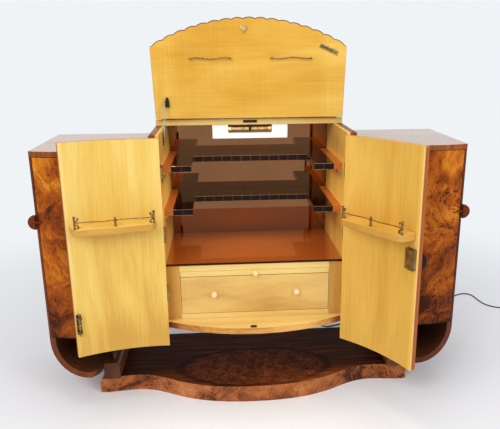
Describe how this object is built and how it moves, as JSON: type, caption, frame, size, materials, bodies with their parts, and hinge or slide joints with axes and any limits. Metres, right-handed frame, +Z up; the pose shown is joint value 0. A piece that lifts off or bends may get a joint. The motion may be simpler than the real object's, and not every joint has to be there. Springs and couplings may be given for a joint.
{
  "type": "bar cabinet",
  "caption": "Bow-fronted bar cabinet with scalloped lift-up lid, mirrored bar, drawer, pull-out shelf and curved cupboard wings on a shaped plinth.",
  "frame": {"origin": "Centre of the plinth's underside, on the floor, at mid-depth of the wings.", "axes": "+X to the cabinet's right as seen from the front, -Y to the front, +Z up."},
  "size_m": [2.256, 1.1623, 1.3802],
  "materials": {
    "dark_walnut": "high-gloss lacquer",
    "burr_walnut": "figured veneer, high-gloss lacquer",
    "pale_maple": "fiddleback veneer, satin lacquer",
    "gold_maple": "satin lacquer",
    "drawer_wood": "bare",
    "tinted_glass": "polished, rose tint",
    "mirror": "silvered glass, rose tint",
    "aged_brass": "aged",
    "nickel": "worn nickel plate",
    "dark_steel": "bronzed",
    "cream_plastic": "cast resin",
    "dark_pull": "cast resin",
    "opal_glass": "opal, translucent",
    "felt": "felt",
    "flex_sheath": "matt",
    "black_plastic": "matt"
  },
  "bodies": {
    "cabinet": {"plinth": "dark_walnut", "wing_supports": "dark_walnut", "side_cradle_left": "dark_walnut", "side_cradle_right": "dark_walnut", "wing_tops": "burr_walnut", "wing_floors": "gold_maple", "wing_backs": "dark_walnut", "wing_stiles": "burr_walnut", "wing_hinges": "aged_brass", "centre_sides": "burr_walnut", "side_linings": "pale_maple", "bow_board": "gold_maple", "strike_plate": "aged_brass", "centre_back": "dark_walnut", "rear_strip": "burr_walnut", "fascia_frame": "gold_maple", "floor_board": "gold_maple", "glass_floor": "tinted_glass", "back_mirror": "mirror", "shelves": "gold_maple", "shelf_cleats": "gold_maple", "drawer_and_slide_guides": "drawer_wood", "lamp_shade": "opal_glass", "lamp_fitting": "aged_brass", "lamp_switch": "aged_brass", "lid_hinge_fixed": "aged_brass", "lid_buffers": "felt", "stay_guide": "dark_steel", "door_hinges": "aged_brass", "flex_gland": "black_plastic", "flex": "flex_sheath", "flex_coil": "flex_sheath", "flex_plug": "black_plastic"},
    "lid": {"lid_panel": "burr_walnut", "lid_hinge_moving": "aged_brass", "lid_rods": "aged_brass", "lid_catch": "aged_brass", "lid_plate": "aged_brass", "stay_bracket": "dark_steel"},
    "stay": {"stay_arm": "nickel"},
    "door_left": {"left_door": "pale_maple", "left_door_ledge": "pale_maple", "left_door_gallery": "aged_brass", "left_door_pull": "dark_pull", "left_bolt_case": "aged_brass"},
    "bolt_left": {"left_bolt": "aged_brass"},
    "door_right": {"right_door": "pale_maple", "right_door_ledge": "pale_maple", "right_door_gallery": "aged_brass", "right_door_pull": "dark_pull", "right_lock_case": "aged_brass"},
    "wing_left": {"wing_door_left": "burr_walnut", "wing_pull_left": "dark_pull"},
    "wing_right": {"wing_door_right": "burr_walnut", "wing_pull_right": "dark_pull"},
    "drawer": {"drawer_front": "gold_maple", "drawer_box": "drawer_wood", "drawer_knobs": "cream_plastic"},
    "slide": {"slide_board": "gold_maple", "slide_knob": "cream_plastic"}
  },
  "joints": [
    {"name": "lid_hinge", "type": "hinge", "parent": "cabinet", "child": "lid", "pos_m": [0, 0.057, 1.0203], "axis": [-1, 0, 0], "range_deg": [-90, 0]},
    {"name": "stay_pivot", "type": "hinge", "parent": "lid", "child": "stay", "pos_m": [-0.3122, 0.0257, 1.0823], "axis": [1, 0, 0], "range_deg": [-117, 0]},
    {"name": "left_door_hinge", "type": "hinge", "parent": "cabinet", "child": "door_left", "pos_m": [-0.314, -0.219, 0.6], "axis": [0, 0, -1], "range_deg": [-154.5, 0]},
    {"name": "left_bolt_slide", "type": "slide", "parent": "door_left", "child": "bolt_left", "axis": [0, 0, -1], "range_m": [0, 0.014]},
    {"name": "right_door_hinge", "type": "hinge", "parent": "cabinet", "child": "door_right", "pos_m": [0.314, -0.219, 0.6], "axis": [0, 0, 1], "range_deg": [-112.5, 0]},
    {"name": "wing_door_left_hinge", "type": "hinge", "parent": "cabinet", "child": "wing_left", "pos_m": [-0.3702, -0.0869, 0.6], "axis": [0, 0, 1], "range_deg": [0, 5]},
    {"name": "wing_door_right_hinge", "type": "hinge", "parent": "cabinet", "child": "wing_right", "pos_m": [0.3702, -0.0869, 0.6], "axis": [0, 0, -1], "range_deg": [0, 37]},
    {"name": "drawer_slide", "type": "slide", "parent": "cabinet", "child": "drawer", "axis": [0, -1, 0], "range_m": [0, 0.3]},
    {"name": "shelf_slide", "type": "slide", "parent": "cabinet", "child": "slide", "axis": [0, -1, 0], "range_m": [0, 0.26]}
  ],
  "couplings": [
    {"joint": "stay_pivot", "follows": "lid_hinge", "ratio": 1.2984}
  ]
}
